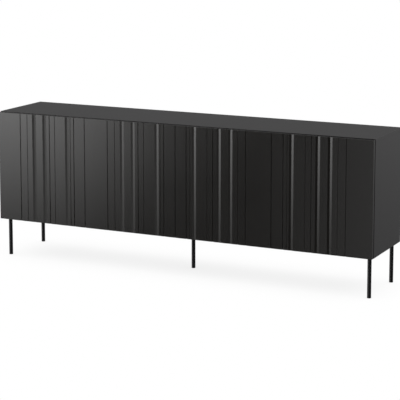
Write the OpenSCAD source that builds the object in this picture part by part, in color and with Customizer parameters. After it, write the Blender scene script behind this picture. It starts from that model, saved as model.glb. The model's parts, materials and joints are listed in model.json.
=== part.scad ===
// Sideboard buffet: four push-to-open doors on a board carcass that stands on five round legs.
// X runs along the width, Y towards the back and Z up, in millimetres.
// The origin is on the floor, under the middle of the cabinet.

/* [Overall] */
// Width over the side panels
width = 2000; // [1660:10:2400]
// Depth from the door fronts to the rear edges of the boards
depth = 400; // [330:5:480]
// Height of the cabinet without its legs
body_h = 551; // [455:1:665]
// Height of the legs, foot caps included
leg_h = 194; // [150:1:240]

/* [Boards] */
// Thickness of the carcass boards and shelves
board_t = 16; // [16:1:20]
// Thickness of the back sheets
back_t = 3; // [2.5:0.5:3.5]
// Width of the rebate that each outer board has for the back sheets
rebate_w = 8; // [6:0.5:10]
// Depth of that rebate
rebate_d = 4; // [4:0.5:6]
// Clearance around the back sheets in their rebate
sheet_gap = 0.5; // [0.2:0.1:1]
// Clearance at the ends and at the back of a shelf
shelf_gap = 1; // [0.5:0.1:2]
// Distance from the front edges of the boards back to a shelf
shelf_setback = 25; // [15:1:60]

/* [Doors] */
// Thickness of a door
door_t = 18; // [18:0.5:22]
// Gap between two doors, half of it at each outer side
door_gap = 3; // [3:0.5:5]
// Gap between the tops of the doors and the upper face of the cabinet
door_top_gap = 3; // [0:0.5:6]
// Gap between the doors and the boards, which the push-to-open travel needs
door_rear_gap = 3; // [3:0.5:5]
// Chamfer along the upright edges of a door
door_chamfer = 0.6; // [0.3:0.1:1]

/* [Door grooves] */
// Width of the broad square grooves
groove_w = 5; // [3:0.5:6]
// Depth of the broad square grooves
groove_d = 3; // [1:0.5:4]
// Width of the narrow square grooves
fine_w = 3.4; // [2:0.1:4]
// Depth of the narrow square grooves
fine_d = 2; // [1:0.5:4]
// Width of the shallow vee grooves
vee_w = 22; // [16:1:26]
// Depth of the shallow vee grooves
vee_d = 1.4; // [0.8:0.1:3]

/* [Legs] */
// Outer diameter of a leg tube
leg_d = 19; // [16:1:25]
// Wall of a leg tube
leg_wall = 1.5; // [1:0.5:2.5]
// Distance from a side panel's outer face to the axis of the nearest legs
leg_inset_x = 30; // [30:1:80]
// Distance from the door fronts to the axis of the front legs
leg_inset_front = 50; // [48:1:90]
// Distance from the rear edges to the axis of the rear legs
leg_inset_back = 37; // [30:1:90]
// Side of the square plate at the top of a leg
plate_w = 50; // [44:1:56]
// Thickness of that plate
plate_t = 2.5; // [2:0.5:4]
// Height of the foot cap under the tube
cap_h = 6; // [4:1:10]
// Length of the foot cap's plug inside the tube
plug_h = 14; // [8:1:20]

/* [Door hinges] */
// Distance from a door's top or bottom edge to the nearest hinge
hinge_inset = 90; // [80:5:120]
// Diameter of the cup bore in a door
cup_d = 35; // [35:1:40]
// Depth of the cup inside the door
cup_depth = 12; // [11:0.5:12.5]
// Distance from a door's hinge edge to the middle of the cup
cup_u = 22.5; // [21:0.5:24]
// Distance from a door's hinge edge, and from its front, to the axis that it turns about
pivot_in = 6; // [5:0.5:6.5]
// Thickness of the plate under a hinge arm
base_t = 3; // [2:0.5:4]
// Height of a hinge arm above its plate
arm_h = 8.2; // [6:0.2:9]
// Width of a hinge arm
arm_w = 12; // [10:1:14]

/* [Push latches] */
// Distance from a door's top edge down to its latch
latch_drop = 60; // [50:1:80]
// Thickness of a latch housing
latch_t = 11; // [10:1:14]
// Length of a latch housing
latch_len = 48; // [44:1:60]
// Diameter of the bore that the plunger slides in
plunger_bore = 8; // [6:0.5:8]
// Travel of the plunger
plunger_travel = 3; // [2:0.5:3]

/* [Fasteners] */
// Diameter of the pegs that carry a shelf
peg_d = 5; // [5:1:6]
// Vertical spacing of the peg holes
peg_pitch = 32; // [32:1:40]
// Diameter of a cam lock
cam_d = 15; // [12:1:15]
// Depth of a cam lock in its board
cam_depth = 12.5; // [12:0.5:13]
// Distance from the end of a board to the middle of a cam lock
cam_reach = 34; // [24:1:40]
// Diameter of a wooden dowel
dowel_d = 8; // [6:1:8]
// Radial clearance of a pin, dowel, cam, screw or nail in its hole
fit_gap = 0.05; // [0.03:0.01:0.1]

/* [Hidden] */
$fn = 48;
eps = 0.01;
BAYS = 4;

// Heights and depths of the carcass.
z_low = leg_h;
z_high = leg_h + body_h;
in_z0 = z_low + board_t;
in_z1 = z_high - board_t;
mid_z = (in_z0 + in_z1) / 2;
board_y0 = -depth / 2 + door_t + door_rear_gap;
board_y1 = depth / 2;
sheet_y0 = board_y1 - rebate_d;
sheet_y1 = sheet_y0 + back_t;

// Middles of the five upright boards, and the pitch of the doors.
pitch = width / BAYS;
upright_x = [for (i = [0 : BAYS])
    i == 0 ? (board_t - width) / 2 : i == BAYS ? (width - board_t) / 2 : i * pitch - width / 2];

// Doors, in a frame of their own: x from the hinge edge, y from the front face, z from the lower edge.
door_w = pitch - door_gap;
door_h = body_h - door_top_gap;
edge_y = door_t + door_rear_gap;
groove_step = pitch / 50;
groove_at = [13, 30, 44];
fine_at = [17, 33, 42];
vee_at = [21, 27, 40];
hinge_z = [hinge_inset, door_h - hinge_inset];

// Hinge cups, the pin across them, and the arms that reach to within a running gap of that pin.
cup_wall = 1;
cup_floor_gap = 0.3;
flange_t = 1.2;
flange_d = cup_d + 3;
ear_w = 16;
ear_reach = 27;
ear_screw_z = 24;
cup_pin_d = 3;
cup_pin_u = cup_u + 7.5;
cup_pin_y = door_t - 5;
run_gap = 0.3;
tip_u = cup_pin_u - cup_pin_d / 2 - run_gap;
tip_y = cup_pin_y - 1;
arm_bend_y = edge_y + 3;
arm_flat_y = edge_y + 15;
arm_end_y = edge_y + 67;
clamp_y = edge_y + 55;
base_y = edge_y + 12;
base_len = 50;
base_w = 16;
wing_y = edge_y + 37;
wing_w = 11;
wing_reach = 24;
wing_t = 2;
wing_screw_z = 16;

// Push latches.
latch_z = door_h - latch_drop;
latch_setback = 2;
latch_w = 14;
lug_reach = 14;
lug_len = 10;
lug_t = 3;
lug_screw_z = 10.5;
strike_t = 1.2;
strike_w = 16;
plunger_len = 34;
plunger_y = door_t + strike_t + run_gap;
free_face = door_w - (board_t - door_gap) / 2;
latch_axis = free_face - latch_t / 2;

// Screws: shank diameter, length under the head, head diameter and head height.
leg_screw = [4, 15, 8, 2];
cup_screw = [3.5, 12, 6.5, 1.5];
wing_screw = [5, 12, 8, 1.8];
clamp_screw = [4, 10, 7, 2];
lug_screw = [3, 9.5, 5.5, 1.8];

// Cam bolts, cams and dowels, front and back of each upright board.
cam_y = [board_y0 + 70, sheet_y0 - 49];
dowel_y = [board_y0 + 119, sheet_y0 - 96];
bolt_thread_d = 6;
bolt_thread_len = 10.5;
bolt_shank_d = 5;
bolt_bore_d = 8;
bolt_head_d = 7;
bolt_head_h = 3;
cam_pocket_d = 7.6;
dowel_in_cap = 11;
dowel_in_upright = 18;
end_gap = 0.5;

// Shelf pegs: a round peg in the board with a flat tongue under the shelf.
peg_in = 7;
peg_out = 8;
tongue_w = 10;
tongue_t = 1.5;
peg_y = [board_y0 + 60, sheet_y0 - 60];
shelf_z = mid_z - board_t / 2;

// Nails through the back sheets.
nail_d = 1.4;
nail_len = 20;
nail_head_d = 3.5;
nail_head_h = 0.5;
nail_margin = 20;
nail_rows = [for (k = [0 : 4]) in_z0 + nail_margin + k * (in_z1 - in_z0 - 2 * nail_margin) / 4];
nail_caps = [in_z0 - rebate_w / 2, in_z1 + rebate_w / 2];

// Legs.
leg_x = width / 2 - leg_inset_x;
leg_yf = -depth / 2 + leg_inset_front;
leg_yb = depth / 2 - leg_inset_back;
leg_xy = [[-leg_x, leg_yf], [leg_x, leg_yf], [-leg_x, leg_yb], [leg_x, leg_yb], [0, 0]];
plate_hole = plate_w / 2 - 8;
foot_round = 1.5;

LACQUER = "#1d1d1f";
EDGE = "#161617";
BACK = "#2a2a2c";
STEEL = "#141415";
NICKEL = "#b9bbbd";
ZINC = "#9fa2a5";
PLASTIC = "#2b2b2d";
BEECH = "#c9a877";

// ---- Basic shapes ----

module block(low, high) {
    translate(low) cube(high - low);
}

module rod_x(d, x0, x1) {
    translate([x0, 0, 0]) rotate([0, 90, 0]) cylinder(h = x1 - x0, d = d);
}

module rod_y(d, y0, y1) {
    translate([0, y0, 0]) rotate([-90, 0, 0]) cylinder(h = y1 - y0, d = d);
}

module rod_z(d, z0, z1) {
    translate([0, 0, z0]) cylinder(h = z1 - z0, d = d);
}

// A screw that points along -Z with the seat of its head at the origin.
module screw(s) {
    rod_z(s[0], -s[1], eps);
    difference() {
        rod_z(s[2], 0, s[3]);
        rod_z(s[0] * 0.6, s[3] * 0.4, s[3] + eps);
    }
}

// Its hole, with clearance all round and beyond its point.
module screw_hole(s) {
    rod_z(s[0] + 2 * fit_gap, -s[1] - end_gap, eps);
}

// ---- Places ----

// The frame of door i, mirrored for the two doors that are hinged on their right.
module at_door(i) {
    if (i < BAYS / 2)
        translate([i * pitch - width / 2 + door_gap / 2, -depth / 2, z_low]) children();
    else
        translate([(i + 1) * pitch - width / 2 - door_gap / 2, -depth / 2, z_low])
            mirror([1, 0, 0]) children();
}

// Distance from a door's hinge edge to the board face that carries its hinges.
function face_u(i) = (i == 0 || i == BAYS - 1 ? board_t : board_t / 2) - door_gap / 2;

module at_hinges(i) {
    at_door(i) for (z = hinge_z) translate([0, 0, z]) children();
}

module at_latch(i) {
    at_door(i) translate([free_face, 0, latch_z]) children();
}

// Draws its children, made for the upper ends of the upright boards, at the lower ends too.
module both_ends() {
    children();
    translate([0, 0, 2 * mid_z]) mirror([0, 0, 1]) children();
}

// The frame of upright board i at its upper end, mirrored where its cams face left.
module at_upright(i) {
    translate([upright_x[i], 0, in_z1]) mirror([i > BAYS / 2 ? 1 : 0, 0, 0]) children();
}

// The x of every nail column that goes into upright board i.
function nail_cols(i) =
    i == 0 ? [-width / 2 + board_t - rebate_w / 2] :
    i == BAYS ? [width / 2 - board_t + rebate_w / 2] :
    i == BAYS / 2 ? [-board_t / 4, board_t / 4] : [upright_x[i]];

function bay_mid(b) = (upright_x[b] + upright_x[b + 1]) / 2;

module nail_holes(xs, zs) {
    for (x = xs, z = zs)
        translate([x, 0, z]) rod_y(nail_d + 2 * fit_gap, sheet_y1 - nail_len - end_gap, board_y1);
}

// ---- Hardware holes, in the frames above ----

module wing_screw_places(i) {
    at_hinges(i)
        for (z = [-wing_screw_z, wing_screw_z])
            translate([face_u(i) + wing_t, wing_y, z]) rotate([0, 90, 0]) children();
}

module lug_screw_places(i) {
    at_latch(i)
        for (z = [-lug_screw_z, lug_screw_z])
            translate([-lug_t, edge_y + latch_setback + latch_len / 2, z])
                rotate([0, -90, 0]) children();
}

module cam_bolt_holes(i) {
    at_upright(i) for (y = cam_y) translate([0, y, 0]) {
        rod_z(bolt_bore_d, -cam_reach, eps);
        rod_z(bolt_thread_d + 2 * fit_gap, -eps, bolt_thread_len + end_gap);
        translate([0, 0, -cam_reach])
            rod_x(cam_d + 2 * fit_gap, board_t / 2 - cam_depth - end_gap / 2, board_t / 2 + eps);
    }
}

module dowel_holes(i) {
    at_upright(i) for (y = dowel_y) translate([0, y, 0])
        rod_z(dowel_d + 2 * fit_gap, -dowel_in_upright - end_gap, dowel_in_cap + end_gap);
}

// Peg holes for the shelf in bay b: three heights, front and back, in both boards.
module peg_holes(b) {
    for (x = [upright_x[b] + board_t / 2, upright_x[b + 1] - board_t / 2], y = peg_y, k = [-1 : 1])
        translate([x, y, shelf_z - peg_d / 2 + k * peg_pitch])
            rod_x(peg_d + 2 * fit_gap, -peg_in - end_gap, peg_in + end_gap);
}

// ---- Carcass boards ----

// A horizontal board, drawn as the top one: square at the outside, rebated below at the back.
module cap_board() {
    difference() {
        block([-width / 2, board_y0, in_z1], [width / 2, board_y1, z_high]);
        block([-width / 2 + board_t - rebate_w, sheet_y0, in_z1 - eps],
              [width / 2 - board_t + rebate_w, board_y1 + eps, in_z1 + rebate_w]);
        for (i = [0 : BAYS]) {
            cam_bolt_holes(i);
            dowel_holes(i);
        }
        nail_holes([for (b = [0 : BAYS - 1]) bay_mid(b)], [nail_caps[1]]);
    }
}

module leg_screw_places() {
    for (p = leg_xy, sx = [-1, 1], sy = [-1, 1])
        translate([p[0] + sx * plate_hole, p[1] + sy * plate_hole, z_low - plate_t])
            rotate([180, 0, 0]) children();
}

module top_panel() {
    color(LACQUER) cap_board();
}

module bottom_panel() {
    color(LACQUER) difference() {
        translate([0, 0, 2 * mid_z]) mirror([0, 0, 1]) cap_board();
        leg_screw_places() screw_hole(leg_screw);
    }
}

// Upright board i between the horizontal ones.
module upright(i) {
    outer = i == 0 || i == BAYS;
    x = upright_x[i];
    difference() {
        block([x - board_t / 2, board_y0, in_z0], [x + board_t / 2, outer ? board_y1 : sheet_y0, in_z1]);
        if (outer)
            translate([x + (i == 0 ? 1 : -1) * (board_t - rebate_w), 0, 0])
                block([-board_t / 2, sheet_y0, in_z0 - eps], [board_t / 2, board_y1 + eps, in_z1 + eps]);
        both_ends() {
            cam_bolt_holes(i);
            dowel_holes(i);
        }
        for (b = [max(i - 1, 0) : min(i, BAYS - 1)])
            intersection() {
                peg_holes(b);
                block([x - board_t, board_y0, in_z0], [x + board_t, sheet_y0, in_z1]);
            }
        nail_holes(nail_cols(i), nail_rows);
        children();
    }
}

module side_panel_left() {
    color(LACQUER) upright(0) wing_screw_places(0) screw_hole(wing_screw);
}

module side_panel_right() {
    color(LACQUER) upright(4) wing_screw_places(3) screw_hole(wing_screw);
}

module partition_left() {
    color(LACQUER) upright(1) {
        wing_screw_places(1) screw_hole(wing_screw);
        lug_screw_places(0) screw_hole(lug_screw);
    }
}

module partition_middle() {
    color(LACQUER) upright(2) {
        lug_screw_places(1) screw_hole(lug_screw);
        lug_screw_places(2) screw_hole(lug_screw);
    }
}

module partition_right() {
    color(LACQUER) upright(3) {
        wing_screw_places(2) screw_hole(wing_screw);
        lug_screw_places(3) screw_hole(lug_screw);
    }
}

// A back sheet over two bays: half 0 on the left, half 1 on the right.
module back_sheet(half) {
    outer_x = width / 2 - board_t + rebate_w - sheet_gap;
    x0 = half == 0 ? -outer_x : sheet_gap / 2;
    x1 = half == 0 ? -sheet_gap / 2 : outer_x;
    first = half * BAYS / 2;
    cols = [for (i = [first : first + BAYS / 2], x = nail_cols(i)) if (x > x0 && x < x1) x];
    color(BACK) difference() {
        block([x0, sheet_y0, in_z0 - rebate_w + sheet_gap], [x1, sheet_y1, in_z1 + rebate_w - sheet_gap]);
        nail_holes(cols, nail_rows);
        nail_holes([for (b = [first : first + BAYS / 2 - 1]) bay_mid(b)], nail_caps);
    }
}

module nail() {
    rod_y(nail_d, sheet_y1 - nail_len, sheet_y1 + eps);
    rod_y(nail_head_d, sheet_y1, sheet_y1 + nail_head_h);
}

module back_nails() {
    color(ZINC) {
        for (i = [0 : BAYS], x = nail_cols(i), z = nail_rows) translate([x, 0, z]) nail();
        for (b = [0 : BAYS - 1], z = nail_caps) translate([bay_mid(b), 0, z]) nail();
    }
}

// ---- Shelves ----

module shelf(b) {
    color(LACQUER) block(
        [upright_x[b] + board_t / 2 + shelf_gap, board_y0 + shelf_setback, shelf_z],
        [upright_x[b + 1] - board_t / 2 - shelf_gap, sheet_y0 - shelf_gap, shelf_z + board_t]);
}

module peg() {
    translate([0, 0, -peg_d / 2]) rod_x(peg_d, -peg_in, peg_out);
    block([0, -tongue_w / 2, -tongue_t], [peg_out, tongue_w / 2, 0]);
}

module shelf_pegs() {
    color(NICKEL) for (b = [0 : BAYS - 1], y = peg_y) {
        translate([upright_x[b] + board_t / 2, y, shelf_z]) peg();
        translate([upright_x[b + 1] - board_t / 2, y, shelf_z]) mirror([1, 0, 0]) peg();
    }
}

// ---- Joints between the boards ----

// A cam with a pocket for the bolt's head and a cross recess for the driver.
module cam() {
    difference() {
        rod_x(cam_d, board_t / 2 - cam_depth, board_t / 2);
        rod_z(cam_pocket_d, -bolt_head_h / 2 - end_gap, cam_d);
        block([board_t / 2 - 2, -4, -0.8], [board_t / 2 + eps, 4, 0.8]);
        block([board_t / 2 - 2, -0.8, -4], [board_t / 2 + eps, 0.8, 4]);
    }
}

module cam_bolt() {
    rod_z(bolt_thread_d, 0, bolt_thread_len);
    rod_z(bolt_shank_d, -cam_reach, eps);
    rod_z(bolt_head_d, -cam_reach - bolt_head_h / 2, -cam_reach + bolt_head_h / 2);
}

module cam_locks() {
    color(ZINC) both_ends() for (i = [0 : BAYS], y = cam_y)
        at_upright(i) translate([0, y, -cam_reach]) cam();
}

module cam_bolts() {
    color(ZINC) both_ends() for (i = [0 : BAYS], y = cam_y) at_upright(i) translate([0, y, 0]) cam_bolt();
}

module dowels() {
    color(BEECH) both_ends() for (i = [0 : BAYS], y = dowel_y)
        at_upright(i) translate([0, y, 0]) rod_z(dowel_d, -dowel_in_upright, dowel_in_cap);
}

// ---- Legs ----

module leg(k) {
    color(STEEL) translate([leg_xy[k][0], leg_xy[k][1], 0]) {
        difference() {
            block([-plate_w / 2, -plate_w / 2, z_low - plate_t], [plate_w / 2, plate_w / 2, z_low]);
            for (sx = [-1, 1], sy = [-1, 1])
                translate([sx * plate_hole, sy * plate_hole, z_low - plate_t])
                    rod_z(leg_screw[0] + 2 * fit_gap, -eps, plate_t + eps);
        }
        difference() {
            rod_z(leg_d, cap_h, z_low - plate_t);
            rod_z(leg_d - 2 * leg_wall, cap_h - eps, z_low - plate_t - leg_wall);
        }
    }
}

module leg_screws() {
    color(STEEL) leg_screw_places() screw(leg_screw);
}

// A plug inside the tube over a disc with a rounded lower edge.
module foot_cap() {
    plug_r = leg_d / 2 - leg_wall - fit_gap;
    rotate_extrude() {
        translate([0, cap_h - eps]) square([plug_r, plug_h + eps]);
        translate([0, foot_round]) square([leg_d / 2, cap_h - foot_round]);
        square([leg_d / 2 - foot_round, foot_round + eps]);
        translate([leg_d / 2 - foot_round, foot_round]) circle(r = foot_round);
    }
}

module foot_caps() {
    color(PLASTIC) for (p = leg_xy) translate([p[0], p[1], 0]) foot_cap();
}

// ---- Doors ----

module door_outline() {
    c = door_chamfer;
    difference() {
        polygon([[0, c], [c, 0], [door_w - c, 0], [door_w, c],
                 [door_w, door_t - c], [door_w - c, door_t], [c, door_t], [0, door_t - c]]);
        for (s = groove_at)
            translate([s * groove_step - (door_gap + groove_w) / 2, -eps]) square([groove_w, groove_d + eps]);
        for (s = fine_at)
            translate([s * groove_step - (door_gap + fine_w) / 2, -eps]) square([fine_w, fine_d + eps]);
        for (s = vee_at)
            translate([s * groove_step - door_gap / 2, 0])
                polygon([[-vee_w / 2, 0], [-vee_w / 2, -eps], [vee_w / 2, -eps], [vee_w / 2, 0], [0, vee_d]]);
    }
}

module cup_screw_places() {
    for (z = [-ear_screw_z, ear_screw_z])
        translate([cup_u, door_t + flange_t, z]) rotate([-90, 0, 0]) children();
}

module door(i) {
    color(LACQUER) at_door(i) difference() {
        linear_extrude(height = door_h) door_outline();
        for (z = hinge_z) translate([0, 0, z]) {
            translate([cup_u, 0, 0]) rod_y(cup_d, door_t - cup_depth - cup_floor_gap, door_t + eps);
            cup_screw_places() screw_hole(cup_screw);
        }
    }
}

// A cup with its flange, two ears for screws, and the pin that the arm's links turn on.
module hinge_cup() {
    outer = cup_d - 2 * fit_gap;
    difference() {
        translate([cup_u, 0, 0]) {
            rod_y(outer, door_t - cup_depth, door_t + flange_t);
            rod_y(flange_d, door_t, door_t + flange_t);
            block([-ear_w / 2, door_t, -ear_reach], [ear_w / 2, door_t + flange_t, ear_reach]);
        }
        translate([cup_u, 0, 0])
            rod_y(outer - 2 * cup_wall, door_t - cup_depth + cup_wall, door_t + flange_t + eps);
        cup_screw_places() screw_hole(cup_screw);
    }
    pin_half = sqrt(pow(outer / 2, 2) - pow(cup_pin_u - cup_u + cup_pin_d / 2, 2)) - cup_wall / 4;
    translate([cup_pin_u, cup_pin_y, 0]) rod_z(cup_pin_d, -pin_half, pin_half);
}

module hinge_cups(i) {
    color(NICKEL) at_hinges(i) hinge_cup();
}

module cup_screws(i) {
    color(NICKEL) at_hinges(i) cup_screw_places() screw(cup_screw);
}

module strike_plate(i) {
    color(NICKEL) at_door(i) translate([latch_axis, 0, latch_z])
        block([-strike_w / 2, door_t, -strike_w / 2], [strike_w / 2, door_t + strike_t, strike_w / 2]);
}

// ---- Hinge arms and plates on the boards ----

module clamp_screw_place(i) {
    translate([face_u(i) + base_t + arm_h, clamp_y, 0]) rotate([0, 90, 0]) children();
}

module hinge_plate(i) {
    difference() {
        translate([face_u(i), 0, 0]) {
            block([0, base_y, -base_w / 2], [base_t, base_y + base_len, base_w / 2]);
            block([0, wing_y - wing_w / 2, -wing_reach], [wing_t, wing_y + wing_w / 2, wing_reach]);
        }
        for (z = [-wing_screw_z, wing_screw_z])
            translate([face_u(i) + wing_t, wing_y, z]) rotate([0, 90, 0]) screw_hole(wing_screw);
        clamp_screw_place(i) screw_hole(clamp_screw);
    }
}

// An arm that lies on its plate, then bends out to the middle of the cup.
module hinge_arm(i) {
    seat = face_u(i) + base_t;
    difference() {
        translate([0, 0, -arm_w / 2]) linear_extrude(height = arm_w) polygon([
            [tip_u - arm_h, tip_y], [tip_u, tip_y], [tip_u, arm_bend_y], [seat + arm_h, arm_flat_y],
            [seat + arm_h, arm_end_y], [seat, arm_end_y], [seat, arm_flat_y], [tip_u - arm_h, arm_bend_y]]);
        clamp_screw_place(i) screw_hole(clamp_screw);
    }
}

module hinge_plates() {
    color(NICKEL) for (i = [0 : BAYS - 1]) at_hinges(i) hinge_plate(i);
}

module hinge_arms() {
    color(NICKEL) for (i = [0 : BAYS - 1]) at_hinges(i) hinge_arm(i);
}

module hinge_screws() {
    color(NICKEL) for (i = [0 : BAYS - 1]) {
        wing_screw_places(i) screw(wing_screw);
        at_hinges(i) clamp_screw_place(i) screw(clamp_screw);
    }
}

// ---- Push latches ----

module latch_housing() {
    y0 = edge_y + latch_setback;
    mid = y0 + latch_len / 2;
    difference() {
        union() {
            block([-latch_t, y0, -latch_w / 2], [0, y0 + latch_len, latch_w / 2]);
            block([-lug_t, mid - lug_len / 2, -lug_reach], [0, mid + lug_len / 2, lug_reach]);
        }
        translate([-latch_t / 2, 0, 0]) rod_y(plunger_bore, y0 - eps, y0 + latch_len - 4);
        for (z = [-lug_screw_z, lug_screw_z])
            translate([-lug_t, mid, z]) rotate([0, -90, 0]) screw_hole(lug_screw);
    }
}

module latch_housings() {
    color(PLASTIC) for (i = [0 : BAYS - 1]) at_latch(i) latch_housing();
}

module latch_screws() {
    color(ZINC) for (i = [0 : BAYS - 1]) lug_screw_places(i) screw(lug_screw);
}

module plunger(i) {
    color(PLASTIC) at_latch(i) translate([-latch_t / 2, 0, 0])
        rod_y(plunger_bore - 2 * fit_gap, plunger_y, plunger_y + plunger_len);
}

// ---- Nodes ----

top_panel();
bottom_panel();
side_panel_left();
side_panel_right();
partition_left();
partition_middle();
partition_right();
back_sheet(0);  // back_sheet_left
back_sheet(1);  // back_sheet_right
back_nails();
shelf(0);  // shelf_1
shelf(1);  // shelf_2
shelf(2);  // shelf_3
shelf(3);  // shelf_4
shelf_pegs();
cam_locks();
cam_bolts();
dowels();
leg(0);  // leg_front_left
leg(1);  // leg_front_right
leg(2);  // leg_back_left
leg(3);  // leg_back_right
leg(4);  // leg_centre
leg_screws();
foot_caps();
hinge_plates();
hinge_arms();
hinge_screws();
latch_housings();
latch_screws();
door(0);  // door_1
door(1);  // door_2
door(2);  // door_3
door(3);  // door_4
hinge_cups(0);  // hinge_cups_1
hinge_cups(1);  // hinge_cups_2
hinge_cups(2);  // hinge_cups_3
hinge_cups(3);  // hinge_cups_4
cup_screws(0);  // cup_screws_1
cup_screws(1);  // cup_screws_2
cup_screws(2);  // cup_screws_3
cup_screws(3);  // cup_screws_4
strike_plate(0);  // strike_plate_1
strike_plate(1);  // strike_plate_2
strike_plate(2);  // strike_plate_3
strike_plate(3);  // strike_plate_4
plunger(0);  // plunger_1
plunger(1);  // plunger_2
plunger(2);  // plunger_3
plunger(3);  // plunger_4
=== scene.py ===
# %% [markdown]
# # A black sideboard with grooved doors
# The construction comes ready made as a *frame*: every board, hinge and screw at its real size and place.
# This lesson adds what the eye needs: softened edges, screws with a driver's recess, lacquer, metal and plastic
# finishes, a studio and a camera. Everything is in metres, and the origin is on the floor under the cabinet.

# %% Load the frame
import json
import math

import bmesh
import bpy
from mathutils import Matrix, Vector


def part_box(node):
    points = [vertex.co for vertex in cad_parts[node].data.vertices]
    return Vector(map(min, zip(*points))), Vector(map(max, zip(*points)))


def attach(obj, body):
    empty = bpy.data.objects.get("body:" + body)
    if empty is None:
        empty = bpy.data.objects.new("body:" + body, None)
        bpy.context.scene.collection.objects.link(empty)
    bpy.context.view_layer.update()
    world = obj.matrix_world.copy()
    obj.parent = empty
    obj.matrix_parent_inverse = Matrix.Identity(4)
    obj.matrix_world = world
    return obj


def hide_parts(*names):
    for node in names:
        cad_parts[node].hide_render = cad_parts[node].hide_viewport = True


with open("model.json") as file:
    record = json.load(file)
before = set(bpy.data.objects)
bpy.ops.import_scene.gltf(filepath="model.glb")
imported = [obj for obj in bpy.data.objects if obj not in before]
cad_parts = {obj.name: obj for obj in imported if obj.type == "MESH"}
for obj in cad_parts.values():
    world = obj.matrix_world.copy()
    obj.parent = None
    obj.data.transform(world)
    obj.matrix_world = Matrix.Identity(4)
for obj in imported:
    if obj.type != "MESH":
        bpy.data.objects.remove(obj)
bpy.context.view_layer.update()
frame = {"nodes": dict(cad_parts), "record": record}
nodes = frame["nodes"]
MM = 0.001

# %% [markdown]
# ## Shader maths as Python
# A material is a net of nodes, and sums drawn as nodes are hard to read. One small class wraps a socket, so that
# `grain * 0.2 + 0.3` adds its own Math nodes. Every other node comes from one method, `node`, which takes its
# type, its settings and what goes into its sockets. Numbers alone are worked out in Python, without a node.

# %% A socket that can be added, subtracted and multiplied
class Wire:
    def __init__(self, net, socket):
        self.net = net
        self.socket = socket

    def math(self, operation, first, second=0.0):
        return self.net.node("ShaderNodeMath", {"operation": operation}, {0: first, 1: second})

    def __add__(self, other):
        return self.math("ADD", self, other)

    def __sub__(self, other):
        return self.math("SUBTRACT", self, other)

    def __rsub__(self, other):
        return self.math("SUBTRACT", other, self)

    def __mul__(self, other):
        return self.math("MULTIPLY", self, other)

    __radd__ = __add__
    __rmul__ = __mul__


# %% The net of one material, or of the world
class Net:
    def __init__(self, tree):
        self.tree = tree
        self.tree.nodes.clear()

    def node(self, kind, settings=None, sockets=None, output=0):
        made = self.tree.nodes.new(kind)
        for name, value in (settings or {}).items():
            if name == "stops":
                self.set_stops(made.color_ramp.elements, value)
            else:
                setattr(made, name, value)
        for name, value in (sockets or {}).items():
            if isinstance(value, Wire):
                self.tree.links.new(value.socket, made.inputs[name])
            else:
                made.inputs[name].default_value = value
        return Wire(self, made.outputs[output]) if made.outputs else made

    @staticmethod
    def set_stops(elements, stops):
        while len(elements) < len(stops):
            elements.new(0.5)
        for element, (place, colour) in zip(elements, stops):
            element.position = place
            element.color = (*colour, 1.0)

    def ramp(self, value, stops):
        return self.node("ShaderNodeValToRGB", {"stops": stops}, {"Fac": value})

    def mix(self, factor, first, second):
        first, second = [c if isinstance(c, Wire) else (*c, 1.0) for c in (first, second)]
        return self.node("ShaderNodeMix", {"data_type": "RGBA"}, {0: factor, 6: first, 7: second}, 2)

    def noise(self, where, scale, detail=2.0):
        return self.node("ShaderNodeTexNoise", {}, {"Vector": where, "Scale": scale, "Detail": detail})

    def stretch(self, where, scale):
        return self.node("ShaderNodeMapping", {}, {"Vector": where, "Scale": scale})

    def smooth(self, value, low, high):
        return self.node("ShaderNodeMapRange", {"interpolation_type": "SMOOTHSTEP"},
                         {"Value": value, "From Min": low, "From Max": high})

    def bump(self, height, strength, distance):
        return self.node("ShaderNodeBump", {}, {"Height": height, "Strength": strength, "Distance": distance})

    def softened_edge(self):
        return self.node("ShaderNodeAttribute", {"attribute_name": "softened"}, output=2)


def new_material(name, finish):
    """A material whose surface sockets are what the function finish(net, where) returns."""
    material = bpy.data.materials.new(name)
    material.use_nodes = True
    net = Net(material.node_tree)
    where = net.node("ShaderNodeTexCoord", output=3)
    surface = net.node("ShaderNodeBsdfPrincipled", {}, finish(net, where))
    net.node("ShaderNodeOutputMaterial", {}, {"Surface": surface})
    print("finish", name, "has", len(net.tree.nodes), "nodes")
    return material


# %% [markdown]
# ## Satin black lacquer
# The real doors and boards are board with a thin black lacquer. It is almost black in itself, so what shows is
# its soft gloss. Three layers carry it: a faint cloudiness in the colour, a roughness that wanders a little, and
# a very fine orange peel as bump. The softened edges, where lacquer thins and hands rub, are a touch paler and
# more matt. The face attribute `softened` tells the material where they are.

# %% Lacquer for the boards and a slightly warmer one for the doors
def lacquer(dark, pale, gloss_roughness):
    def finish(net, where):
        cloud = net.noise(where, 3.0, 3.0)
        speck = net.noise(where, 420.0, 1.0)
        peel = net.noise(where, 260.0, 2.0)
        edge = net.softened_edge()
        body = net.mix(cloud * 0.7 + speck * 0.3, dark, pale)
        worn = [2.2 * c for c in pale]
        rough = cloud * 0.06 + speck * 0.03 + edge * 0.12 + (gloss_roughness - 0.045)
        return {"Base Color": net.mix(edge * 0.8, body, worn), "Roughness": rough,
                "Normal": net.bump(peel, 0.10, 0.0002)}
    return finish


board_lacquer = new_material("board_lacquer", lacquer((0.0110, 0.0100, 0.0108), (0.0156, 0.0143, 0.0156), 0.29))
door_lacquer = new_material("door_lacquer", lacquer((0.0066, 0.0058, 0.0050), (0.0094, 0.0083, 0.0072), 0.165))

# %% [markdown]
# ## Hardboard, steel, nickel, zinc, plastic and beech
# Each has its own scale of detail. Hardboard is a mat of fibres under a thin foil, so its noise is stretched
# both ways. Powder coat has a fine round grain. Nickel plate on pressed steel keeps long drawing lines, and
# zinc sets in pale and dark spangles, which Voronoi cells draw. Beech has short dark flecks along the grain.

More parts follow.
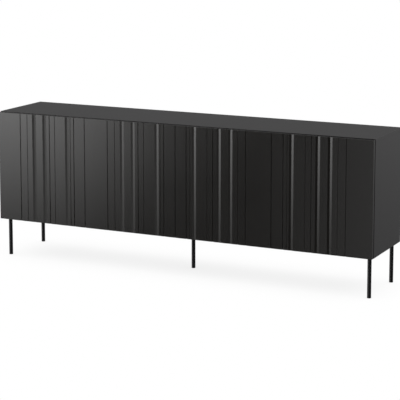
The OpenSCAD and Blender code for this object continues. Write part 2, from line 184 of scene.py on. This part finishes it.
# %% The other finishes
def hardboard(net, where):
    fibres = net.noise(net.stretch(where, (1.0, 1.0, 0.15)), 500.0, 3.0)
    mat = net.noise(where, 40.0, 4.0)
    return {"Base Color": net.mix(fibres * 0.6 + mat * 0.4, (0.020, 0.020, 0.021), (0.046, 0.045, 0.044)),
            "Roughness": mat * 0.2 + 0.55, "Normal": net.bump(fibres, 0.25, 0.0002)}


def powder_coat(net, where):
    grain = net.noise(where, 900.0, 1.0)
    patch = net.noise(where, 12.0, 2.0)
    return {"Base Color": net.mix(patch, (0.0085, 0.0085, 0.0090), (0.0145, 0.0145, 0.0150)),
            "Roughness": grain * 0.12 + 0.38, "Normal": net.bump(grain, 0.20, 0.0002)}


def nickel_plate(net, where):
    drawn = net.noise(net.stretch(where, (1.0, 0.04, 1.0)), 1500.0, 2.0)
    stain = net.noise(where, 60.0, 3.0)
    return {"Base Color": net.mix(stain, (0.56, 0.55, 0.52), (0.70, 0.69, 0.67)), "Metallic": 1.0,
            "Roughness": drawn * 0.16 + stain * 0.08 + 0.18, "Normal": net.bump(drawn, 0.08, 0.0001)}


def zinc_plate(net, where):
    spangle = net.node("ShaderNodeTexVoronoi", {}, {"Vector": where, "Scale": 700.0}, 0)
    dull = net.noise(where, 90.0, 2.0)
    return {"Base Color": net.mix(spangle * 1.4, (0.36, 0.37, 0.39), (0.58, 0.59, 0.61)), "Metallic": 1.0,
            "Roughness": dull * 0.2 + 0.36, "Normal": net.bump(spangle, 0.12, 0.0001)}


def moulded_plastic(net, where):
    spark = net.noise(where, 1800.0, 1.0)
    flow = net.noise(net.stretch(where, (1.0, 1.0, 0.2)), 70.0, 2.0)
    return {"Base Color": net.mix(flow, (0.012, 0.012, 0.013), (0.021, 0.021, 0.022)),
            "Roughness": spark * 0.15 + 0.45, "Normal": net.bump(spark, 0.18, 0.0001)}


def turned_beech(net, where):
    fleck = net.noise(net.stretch(where, (1.0, 1.0, 0.12)), 900.0, 3.0)
    return {"Base Color": net.ramp(fleck, [(0.35, (0.36, 0.22, 0.12)), (0.6, (0.60, 0.43, 0.27))]),
            "Roughness": fleck * 0.2 + 0.5, "Normal": net.bump(fleck, 0.2, 0.0001)}


finish_of = {
    "board_lacquer": board_lacquer,
    "door_lacquer": door_lacquer,
    "back_board": new_material("back_board", hardboard),
    "leg_steel": new_material("leg_steel", powder_coat),
    "nickel": new_material("nickel", nickel_plate),
    "zinc": new_material("zinc", zinc_plate),
    "black_plastic": new_material("black_plastic", moulded_plastic),
    "beech": new_material("beech", turned_beech),
}
slot_of = {part["node"]: part["material_slot"] for part in frame["record"]["subparts"]}
body_of = {name: body for body, names in frame["record"]["behaviour"]["bodies"].items() for name in names}
for name, node in nodes.items():
    node.data.materials.clear()
    node.data.materials.append(finish_of[slot_of[name]])


def stand_for(name, piece):
    """The new piece stands in for a frame node: it joins the same body, and the node is hidden."""
    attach(piece, body_of[name])
    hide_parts(name)


# %% [markdown]
# ## Softened edges
# No lacquered edge is perfectly sharp, and the thin line of light along an edge is most of what tells a board
# from a flat shape. A bevel could be live as a modifier, but here it is cut into a copy of each frame mesh, so
# that only the edges we choose are rounded. A board's twelve outer edges are those that lie on two sides of its
# box. On a door the edges of every groove are softened too. The bores for pegs and hinges stay crisp.

# %% Which edges to soften
TOUCH = 0.02 * MM
SQUARE_ENOUGH = math.radians(50)


def box_sides(point, low, high):
    """Which of the six sides of the box a point lies on."""
    return {(axis, end) for axis in range(3) for end, corner in ((0, low), (1, high))
            if abs(point[axis] - corner[axis]) < TOUCH}


def outer_edges(bm, low, high):
    return [e for e in bm.edges
            if len(box_sides(e.verts[0].co, low, high) & box_sides(e.verts[1].co, low, high)) >= 2]


def is_square(edge):
    return len(edge.link_faces) == 2 and edge.calc_face_angle() > SQUARE_ENOUGH


def door_edges(bm, low, high):
    """Every square edge that runs the height of the door, and the outline of both its ends."""
    found = []
    for e in bm.edges:
        a, b = e.verts[0].co, e.verts[1].co
        tall = abs(a.z - b.z) > 0.9 * (high.z - low.z)
        at_end = any(abs(a.z - z) < TOUCH and abs(b.z - z) < TOUCH for z in (low.z, high.z))
        if (tall or at_end) and is_square(e):
            found.append(e)
    return found


# %% Soften a mesh, and put it in place of a node
def soften(mesh, choose, radius, segments=2):
    bm = bmesh.new()
    bm.from_mesh(mesh)
    bmesh.ops.remove_doubles(bm, verts=bm.verts, dist=0.001 * MM)
    bmesh.ops.dissolve_limit(bm, angle_limit=math.radians(0.5), verts=bm.verts, edges=bm.edges)
    low = Vector([min(v.co[i] for v in bm.verts) for i in range(3)])
    high = Vector([max(v.co[i] for v in bm.verts) for i in range(3)])
    tag = bm.faces.layers.float.new("softened")
    edges = choose(bm, low, high)
    made = bmesh.ops.bevel(bm, geom=edges, offset=radius, segments=segments, profile=0.5, affect="EDGES",
                           clamp_overlap=True)
    for face in made["faces"]:
        face[tag] = 1.0
    for face in bm.faces:
        face.smooth = False
    bm.to_mesh(mesh)
    bm.free()
    return len(edges)


def put_for(name, mesh):
    mesh.materials.clear()
    mesh.materials.append(finish_of[slot_of[name]])
    piece = bpy.data.objects.new("made_" + name, mesh)
    bpy.context.scene.collection.objects.link(piece)
    stand_for(name, piece)


BOARDS = ["top_panel", "bottom_panel", "side_panel_left", "side_panel_right",
          "partition_left", "partition_middle", "partition_right",
          "shelf_1", "shelf_2", "shelf_3", "shelf_4"]
BOARD_EDGE = 0.5 * MM
for board in BOARDS:
    copy = nodes[board].data.copy()
    softened_edges = soften(copy, outer_edges, BOARD_EDGE)
    put_for(board, copy)
    print(f"{board}: {softened_edges} edges softened, {len(copy.polygons)} faces")

# %% [markdown]
# ## A kit for Geometry Nodes
# Trees that make shapes use the same `Net` with a few words added: `given` names one of the tree's inputs,
# `attribute` reads a value from each point, and `moved`, `joined` and `copies` do what they say. A point cloud
# is only a mesh of bare points with values on them, made in Python. The tree turns it into solids, and
# `made_mesh` keeps the evaluated result as a plain mesh.

# %% Words for shape trees
class ShapeNet(Net):
    def __init__(self, name, sizes):
        super().__init__(bpy.data.node_groups.new(name, "GeometryNodeTree"))
        face = self.tree.interface
        face.new_socket("Geometry", in_out="INPUT", socket_type="NodeSocketGeometry")
        for size in sizes:
            face.new_socket(size, in_out="INPUT", socket_type="NodeSocketFloat")
        face.new_socket("Material", in_out="INPUT", socket_type="NodeSocketMaterial")
        face.new_socket("Geometry", in_out="OUTPUT", socket_type="NodeSocketGeometry")
        self.inputs = self.tree.nodes.new("NodeGroupInput")

    def given(self, name):
        return Wire(self, self.inputs.outputs[name])

    def attribute(self, name, kind="FLOAT"):
        return self.node("GeometryNodeInputNamedAttribute", {"data_type": kind}, {"Name": name})

    def spread(self, x, y, z):
        return self.node("ShaderNodeCombineXYZ", {}, {0: x, 1: y, 2: z})

    def moved(self, mesh, x, y, z, turn=(0.0, 0.0, 0.0)):
        return self.node("GeometryNodeTransform", {},
                         {"Geometry": mesh, "Translation": self.spread(x, y, z), "Rotation": turn})

    def joined(self, *parts):
        join = self.tree.nodes.new("GeometryNodeJoinGeometry")
        for part in parts:
            self.tree.links.new(part.socket, join.inputs[0])
        return Wire(self, join.outputs[0])

    def copies(self, shape, points, **sockets):
        return self.node("GeometryNodeInstanceOnPoints", {}, {"Points": points, "Instance": shape, **sockets})

    def carved(self, mesh, cutters):
        return self.node("GeometryNodeMeshBoolean", {"operation": "DIFFERENCE", "solver": "EXACT"},
                         {"Mesh 1": mesh, "Mesh 2": cutters})

    def real(self, instances):
        return self.node("GeometryNodeRealizeInstances", {}, {"Geometry": instances})

    def finished(self, geometry):
        done = self.node("GeometryNodeSetMaterial", {},
                         {"Geometry": self.real(geometry), "Material": self.given("Material")})
        self.node("NodeGroupOutput", {}, {"Geometry": done})
        return self.tree


# %% Points in, mesh out
def point_cloud(name, places, values):
    """An object of bare points. values maps an attribute to a list of numbers or of vectors."""
    mesh = bpy.data.meshes.new(name)
    mesh.from_pydata(places, [], [])
    for key, column in values.items():
        if isinstance(column[0], Vector):
            layer = mesh.attributes.new(key, "FLOAT_VECTOR", "POINT")
            layer.data.foreach_set("vector", [c for vector in column for c in vector])
        else:
            layer = mesh.attributes.new(key, "FLOAT", "POINT")
            layer.data.foreach_set("value", column)
    cloud = bpy.data.objects.new(name, mesh)
    bpy.context.scene.collection.objects.link(cloud)
    return cloud


def made_mesh(cloud, tree, values):
    """The plain mesh that a tree makes of a point cloud. The cloud is removed."""
    modifier = cloud.modifiers.new("tree", "NODES")
    modifier.node_group = tree
    for item in tree.interface.items_tree:
        if item.in_out == "INPUT" and item.socket_type != "NodeSocketGeometry":
            modifier[item.identifier] = values[item.name]
    bpy.context.view_layer.update()
    shown = cloud.evaluated_get(bpy.context.evaluated_depsgraph_get())
    mesh = bpy.data.meshes.new_from_object(shown)
    cloud.modifiers.clear()
    bpy.data.objects.remove(cloud)
    return mesh


# %% [markdown]
# ## The grooved doors
# All four doors follow one rule. The pitch of a door is split into fifty steps, counted from the hinge edge, and
# grooves of three kinds stand on chosen steps: square ones, fine ones, and wide shallow vees. The right pair is
# the left pair mirrored. The tree makes a blank, puts a box or a diamond on each groove's point and a round rod
# on each bore, and cuts them all out at once. A mirrored door only changes the sign of its places, because a
# negative scale would turn the faces inside out.

# %% The door tree
DOOR_SIZES = ["Width", "Height", "Thickness", "Step", "Gap", "Mirror"]
OVERSHOOT = 1.1


def door_tree():
    net = ShapeNet("grooved_door", DOOR_SIZES)
    width, height, thickness, mirror = [net.given(n) for n in ("Width", "Height", "Thickness", "Mirror")]
    wide, deep = net.attribute("wide"), net.attribute("deep")
    blank = net.moved(net.node("GeometryNodeMeshCube", {}, {"Size": net.spread(width, thickness, height)}),
                      width * mirror * 0.5, thickness * 0.5, height * 0.5)
    place = (net.attribute("step") * net.given("Step") - net.given("Gap") * 0.5) * mirror
    grooves = net.node("GeometryNodeSetPosition", {}, {
        "Geometry": net.given("Geometry"), "Selection": net.attribute("groove"),
        "Position": net.spread(place, 0.0, height * 0.5)})
    box = net.node("GeometryNodeMeshCube", {}, {"Size": (1.0, 1.0, 1.0)})
    diamond = net.node("GeometryNodeMeshCylinder", {}, {"Vertices": 4, "Radius": 1.0, "Depth": 1.0})
    rod = net.moved(net.node("GeometryNodeMeshCylinder", {}, {"Vertices": 48, "Radius": 0.5, "Depth": 1.0}),
                    0.0, 0.0, 0.0, (math.pi / 2, 0.0, 0.0))
    cutters = net.joined(
        net.copies(box, grooves, Selection=net.attribute("square"),
                   Scale=net.spread(wide, deep * 2.0, height * OVERSHOOT)),
        net.copies(diamond, grooves, Selection=net.attribute("vee"),
                   Scale=net.spread(wide * 0.5, deep, height * OVERSHOOT)),
        net.copies(rod, grooves, Selection=net.attribute("bore"), Scale=net.spread(wide, deep * 2.0, wide)))
    return net.finished(net.carved(blank, net.real(cutters)))


DOORS = door_tree()
print("door tree has", len(DOORS.nodes), "nodes")

# %% [markdown]
# ## Reading screws back from the frame
# The frame already holds each screw as a plain solid. Its vertices tell everything: the long axis is the screw's
# axis, the wide end is the head, and the levels along the axis are the tip, the seat and the top. Reading the
# sizes back keeps screws and holes in step when the construction changes, here and in the doors' screw holes.

# %% Read one solid of a node as a screw
def solids(name):
    """The vertices of each separate solid of a node."""
    bm = bmesh.new()
    bm.from_mesh(nodes[name].data)
    bmesh.ops.remove_doubles(bm, verts=bm.verts, dist=0.001 * MM)
    left, found = dict.fromkeys(bm.verts), []
    while left:
        stack, solid = [left.popitem()[0]], []
        while stack:
            vert = stack.pop()
            solid.append(vert.co.copy())
            for edge in vert.link_edges:
                other = edge.other_vert(vert)
                if other in left:
                    del left[other]
                    stack.append(other)
        found.append(solid)
    bm.free()
    return found


def read_screw(points):
    """(size, seat, aim) of a screw, where size is (head diameter, head height, shank diameter, length)."""
    low = Vector([min(p[i] for p in points) for i in range(3)])
    high = Vector([max(p[i] for p in points) for i in range(3)])
    axis = max(range(3), key=lambda i: high[i] - low[i])
    middle = (low + high) / 2

    def radius(p):
        away = p - middle
        away[axis] = 0.0
        return away.length

    wide = {end: max(radius(p) for p in points if abs(p[axis] - end) < TOUCH) for end in (low[axis], high[axis])}
    top, tip = (low[axis], high[axis]) if wide[low[axis]] > wide[high[axis]] else (high[axis], low[axis])
    sign = 1.0 if top > tip else -1.0
    head = [p for p in points if radius(p) > 0.9 * wide[top]]
    seat = middle.copy()
    seat[axis] = min((p[axis] for p in head), key=lambda level: level * sign)
    aim = Vector((0.0, 0.0, 0.0))
    aim[axis] = sign
    size = (2 * wide[top], abs(top - seat[axis]), 2 * wide[tip], abs(seat[axis] - tip))
    return tuple(round(s, 4) for s in size), seat, aim


# %% Grooves and bores of one door
DOOR_EDGE = 0.4 * MM
STEPS = 50
DOOR_GAP = 3.0 * MM
GROOVES = [("square", (13, 30, 44), 5.0 * MM, 3.0 * MM),
           ("square", (17, 33, 42), 3.4 * MM, 2.0 * MM),
           ("vee", (21, 27, 40), 22.0 * MM, 1.4 * MM)]
CUP_BORE, CUP_DEPTH = 35.0 * MM, 12.3 * MM
CUP_FROM_EDGE, CUP_FROM_END = 22.5 * MM, 90.0 * MM
SCREW_ROOM = 0.1 * MM


def cut_rows(number, corner, size, mirror):
    """One row for each cut: place, step, width, depth and kind."""
    rows = [((0.0, 0.0, 0.0), step, wide, deep, kind)
            for kind, steps, wide, deep in GROOVES for step in steps]
    for z in (CUP_FROM_END, size.z - CUP_FROM_END):
        rows.append(((CUP_FROM_EDGE * mirror, size.y, z), 0, CUP_BORE, CUP_DEPTH, "bore"))
    for solid in solids(f"cup_screws_{number}"):
        (head, tall, shank, length), seat, aim = read_screw(solid)
        tip = seat - aim * length - corner
        rows.append(((tip.x, size.y, tip.z), 0, shank + SCREW_ROOM, size.y - tip.y, "bore"))
    return rows


def grooved_door(number):
    name = f"door_{number}"
    low, high = [Vector(c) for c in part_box(name)]
    size = high - low
    mirror = 1.0 if number <= 2 else -1.0
    corner = Vector((low.x if mirror > 0 else high.x, low.y, low.z))
    places, steps, wides, deeps, kinds = zip(*cut_rows(number, corner, size, mirror))
    values = {"step": steps, "wide": wides, "deep": deeps, "groove": [k != "bore" for k in kinds]}
    values.update({kind: [k == kind for k in kinds] for kind in ("square", "vee", "bore")})
    values = {key: [float(v) for v in column] for key, column in values.items()}
    mesh = made_mesh(point_cloud(name + "_cuts", places, values), DOORS, {
        "Width": size.x, "Height": size.z, "Thickness": size.y, "Step": (size.x + DOOR_GAP) / STEPS,
        "Gap": DOOR_GAP, "Mirror": mirror, "Material": door_lacquer})
    mesh.transform(Matrix.Translation(corner))
    count = soften(mesh, door_edges, DOOR_EDGE)
    put_for(name, mesh)
    print(f"{name}: {len(places)} cuts, {count} edges softened, {len(mesh.polygons)} faces")


for door_number in range(1, 5):
    grooved_door(door_number)

# %% [markdown]
# ## Screws from one tree of Geometry Nodes
# Sixty-eight screws hold the legs, hinges, cups and latches, and all are one shape at several sizes: a plain
# shank, a pan head that tapers, and a cross recess. One tree makes that shape from its named inputs. It cuts the
# two slots of the cross one after the other with the exact solver. Cut together with the default solver, they
# left the heads open.
# Then it puts a copy on every point and turns it along the point's `aim`. Realize Instances and Set Material end
# the tree, and the result is kept as a plain mesh for each node, so each body keeps its own screws.

# %% The screw tree
SCREW_SIZES = ["Head Diameter", "Head Height", "Shank Diameter", "Shank Length"]
HEAD_SIDES, SHANK_SIDES = 28, 16
HEAD_TAPER = 0.40
RECESS_REACH = 0.62
RECESS_WIDTH = 0.14
RECESS_DEPTH = 0.7


def screw_tree():
    net = ShapeNet("screws", SCREW_SIZES)
    diameter, height, length = [net.given(n) for n in ("Head Diameter", "Head Height", "Shank Length")]
    head = net.node("GeometryNodeMeshCone", {}, {"Vertices": HEAD_SIDES, "Radius Top": diameter * HEAD_TAPER,
                                                 "Radius Bottom": diameter * 0.5, "Depth": height})
    reach, width, depth = diameter * RECESS_REACH, diameter * RECESS_WIDTH, height * RECESS_DEPTH * 2.0
    cross = [net.moved(net.node("GeometryNodeMeshCube", {}, {"Size": net.spread(x, y, depth)}), 0.0, 0.0, height)
             for x, y in ((reach, width), (width, reach))]
    shank = net.node("GeometryNodeMeshCylinder", {}, {
        "Vertices": SHANK_SIDES, "Radius": net.given("Shank Diameter") * 0.5, "Depth": length})
    for slot in cross:
        head = net.carved(head, slot)
    screw = net.joined(head, net.moved(shank, 0.0, 0.0, length * -0.5))
    aim = net.attribute("aim", "FLOAT_VECTOR")
    turn = net.node("FunctionNodeAlignRotationToVector", {"axis": "Z"}, {"Vector": aim})
    return net.finished(net.copies(screw, net.given("Geometry"), Rotation=turn))


SCREWS = screw_tree()
print("screw tree has", len(SCREWS.nodes), "nodes")

# %% Put screws on the points
def screws_for(name):
    kinds = {}
    for solid in solids(name):
        size, seat, aim = read_screw(solid)
        kinds.setdefault(size, []).append((seat, aim))
    bm = bmesh.new()
    for size, places in sorted(kinds.items()):
        seats, aims = zip(*places)
        values = dict(zip(SCREW_SIZES, size), Material=finish_of[slot_of[name]])
        mesh = made_mesh(point_cloud(name + "_points", seats, {"aim": aims}), SCREWS, values)
        bm.from_mesh(mesh)
        bpy.data.meshes.remove(mesh)
        print(f"{name}: {len(places)} screws of {size[0] / MM:.1f} mm head, {size[3] / MM:.1f} mm long")
    whole = bpy.data.meshes.new("driven_" + name)
    bm.to_mesh(whole)
    bm.free()
    put_for(name, whole)


for screw_node in ["leg_screws", "hinge_screws", "latch_screws"] + [f"cup_screws_{n}" for n in range(1, 5)]:
    screws_for(screw_node)

# %% [markdown]
# ## The studio
# Black lacquer is drawn by what it mirrors, so the studio matters more than the lamps. The world has three
# faces. The camera sees plain white. Diffuse light gets an even, modest level. Mirror rays see a photographer's
# room: a tall soft panel at the left front, dark flags beside it, and a dim wall behind. Because the panel ends
# where it does, the flat of a door fades from grey at the left to near black, and the right flank of each vee
# groove still catches the panel. A plain white world for mirror rays would be simpler and would suit more
# lights. It was left out because a flat black board mirrors strongly at a low angle and would look pale.

# %% The world
# Each face is (from, to, softness) in degrees, counted from straight in front of the cabinet towards its left.
PANEL_SIDES, PANEL_LEVEL = (29.2, 45.0, 2.3), 5.3
STRIP_SIDES, STRIP_LEVEL = (12.0, 20.3, 1.5), 0.75
FLAG_SIDES, FLAG_LEVEL = (20.5, 24.5, 2.0), 0.12
BEYOND_SIDES, BEYOND_LEVEL = (46.0, 125.0, 5.0), 0.6
WALL_LEVEL, WALL_RIGHT = 0.15, 0.55
ROOF_LEVEL = 0.8
DARK_LEVEL = 0.04
DIFFUSE_LEVEL = 0.55


def studio_world():
    world = bpy.data.worlds.new("studio")
    bpy.context.scene.world = world
    world.use_nodes = True
    net = Net(world.node_tree)
    toward = net.node("ShaderNodeTexCoord", output=0)
    parts = net.node("ShaderNodeSeparateXYZ", {}, {"Vector": toward})
    x, y, z = [Wire(net, parts.socket.node.outputs[i]) for i in range(3)]
    side = net.node("ShaderNodeMath", {"operation": "ARCTAN2"}, {0: x * -1.0, 1: y * -1.0})

    def span(low, high, soft):
        low, high, soft = [math.radians(a) for a in (low, high, soft)]
        return net.smooth(side, low - soft, low + soft) * (1.0 - net.smooth(side, high - soft, high + soft))

    panel_foot = net.smooth(z, -0.25, -0.09) * PANEL_LEVEL
    panel_head = 1.0 - net.smooth(z, 0.05, 0.3) * 0.85
    panel = span(*PANEL_SIDES) * panel_foot * panel_head
    strip = span(*STRIP_SIDES) * STRIP_LEVEL
    flag = span(*FLAG_SIDES) * FLAG_LEVEL
    beyond = span(*BEYOND_SIDES) * BEYOND_LEVEL
    to_right = net.smooth(x, -0.2, 0.5) * net.smooth(z, -0.26, 0.0)
    wall = net.smooth(y, 0.1, 0.6) * (to_right * WALL_RIGHT + WALL_LEVEL)
    roof = net.smooth(z, 0.35, 0.9) * ROOF_LEVEL
    mirrored = panel + strip + flag + beyond + wall + roof + DARK_LEVEL
    paths = net.node("ShaderNodeLightPath")
    camera, glossy, through = [Wire(net, paths.socket.node.outputs[n])
                               for n in ("Is Camera Ray", "Is Glossy Ray", "Is Transmission Ray")]
    seen = camera + through
    level = seen + (1.0 - seen) * (glossy * mirrored + (1.0 - glossy) * DIFFUSE_LEVEL)
    back = net.node("ShaderNodeBackground", {}, {"Color": (1.0, 1.0, 1.0, 1.0), "Strength": level})
    net.node("ShaderNodeOutputWorld", {}, {"Surface": back})


studio_world()

# %% [markdown]
# ## Floor and lamp
# The floor is pale and plain. To the camera it is a white glow, dimmed by ambient occlusion where the cabinet stands
# close over it: a painted contact shadow, not the lamp's own shadow. It is hidden from mirror rays, or its white
# would wash out the lower half of the doors. One large soft lamp from the upper left gives the top and the fronts a
# direction.

# %% Floor
FLOOR_HALF = 12.0
SHADOW_REACH = 0.35


def floor_finish():
    material = bpy.data.materials.new("pale_floor")
    material.use_nodes = True
    net = Net(material.node_tree)
    open_sky = net.node("ShaderNodeAmbientOcclusion", {"samples": 16}, {"Distance": SHADOW_REACH}, 1)
    # Camera rays see this glow, darkened by ambient occlusion under and around the cabinet: a painted contact shadow.
    lit = net.node("ShaderNodeEmission", {}, {"Strength": net.smooth(open_sky, -1.6, 0.9)})
    matt = net.node("ShaderNodeBsdfDiffuse", {}, {"Color": (0.80, 0.80, 0.79, 1.0)})
    paths = net.node("ShaderNodeLightPath")
    camera, through = [Wire(net, paths.socket.node.outputs[n]) for n in ("Is Camera Ray", "Is Transmission Ray")]
    both = net.node("ShaderNodeMixShader", {}, {0: camera + through, 1: matt, 2: lit})
    net.node("ShaderNodeOutputMaterial", {}, {"Surface": both})
    return material


floor_mesh = bpy.data.meshes.new("floor")
corners = [(-FLOOR_HALF, -FLOOR_HALF), (FLOOR_HALF, -FLOOR_HALF), (FLOOR_HALF, FLOOR_HALF), (-FLOOR_HALF, FLOOR_HALF)]
floor_mesh.from_pydata([(x, y, 0.0) for x, y in corners], [], [(0, 1, 2, 3)])
floor_mesh.materials.append(floor_finish())
floor = bpy.data.objects.new("floor", floor_mesh)
bpy.context.scene.collection.objects.link(floor)
floor.visible_glossy = False

# %% Lamp
lamp_data = bpy.data.lights.new("soft_lamp", "AREA")
lamp_data.shape = "RECTANGLE"
lamp_data.size, lamp_data.size_y = 2.4, 1.6
lamp_data.energy = 60.0
lamp = bpy.data.objects.new("soft_lamp", lamp_data)
lamp.location = (-2.6, -3.2, 3.4)
lamp.rotation_euler = (Vector((0.0, 0.0, 0.4)) - lamp.location).to_track_quat("-Z", "Y").to_euler()
lamp.visible_glossy = False
bpy.context.scene.collection.objects.link(lamp)

# %% [markdown]
# ## The camera
# A long lens from about seven metres keeps the cabinet's edges close to parallel. A furniture photographer
# holds the camera level and slides the lens down instead of tilting. Here part of that slide is kept as shift,
# and the rest is a gentle tilt, so that the same shift also suits views from other sides.

# %% Camera
camera_data = bpy.data.cameras.new("camera")
camera_data.sensor_width = 36.0
camera_data.lens = 136.01
camera_data.shift_y = -0.25
camera = bpy.data.objects.new("camera", camera_data)
camera.location = (3.2103, -6.556, 1.8624)
TILT_DOWN = math.radians(7.978)
TURN_LEFT = math.radians(25.838)
camera.rotation_euler = (math.pi / 2 - TILT_DOWN, 0.0, TURN_LEFT)
bpy.context.scene.collection.objects.link(camera)
bpy.context.scene.camera = camera
bpy.context.scene.view_settings.view_transform = "Standard"
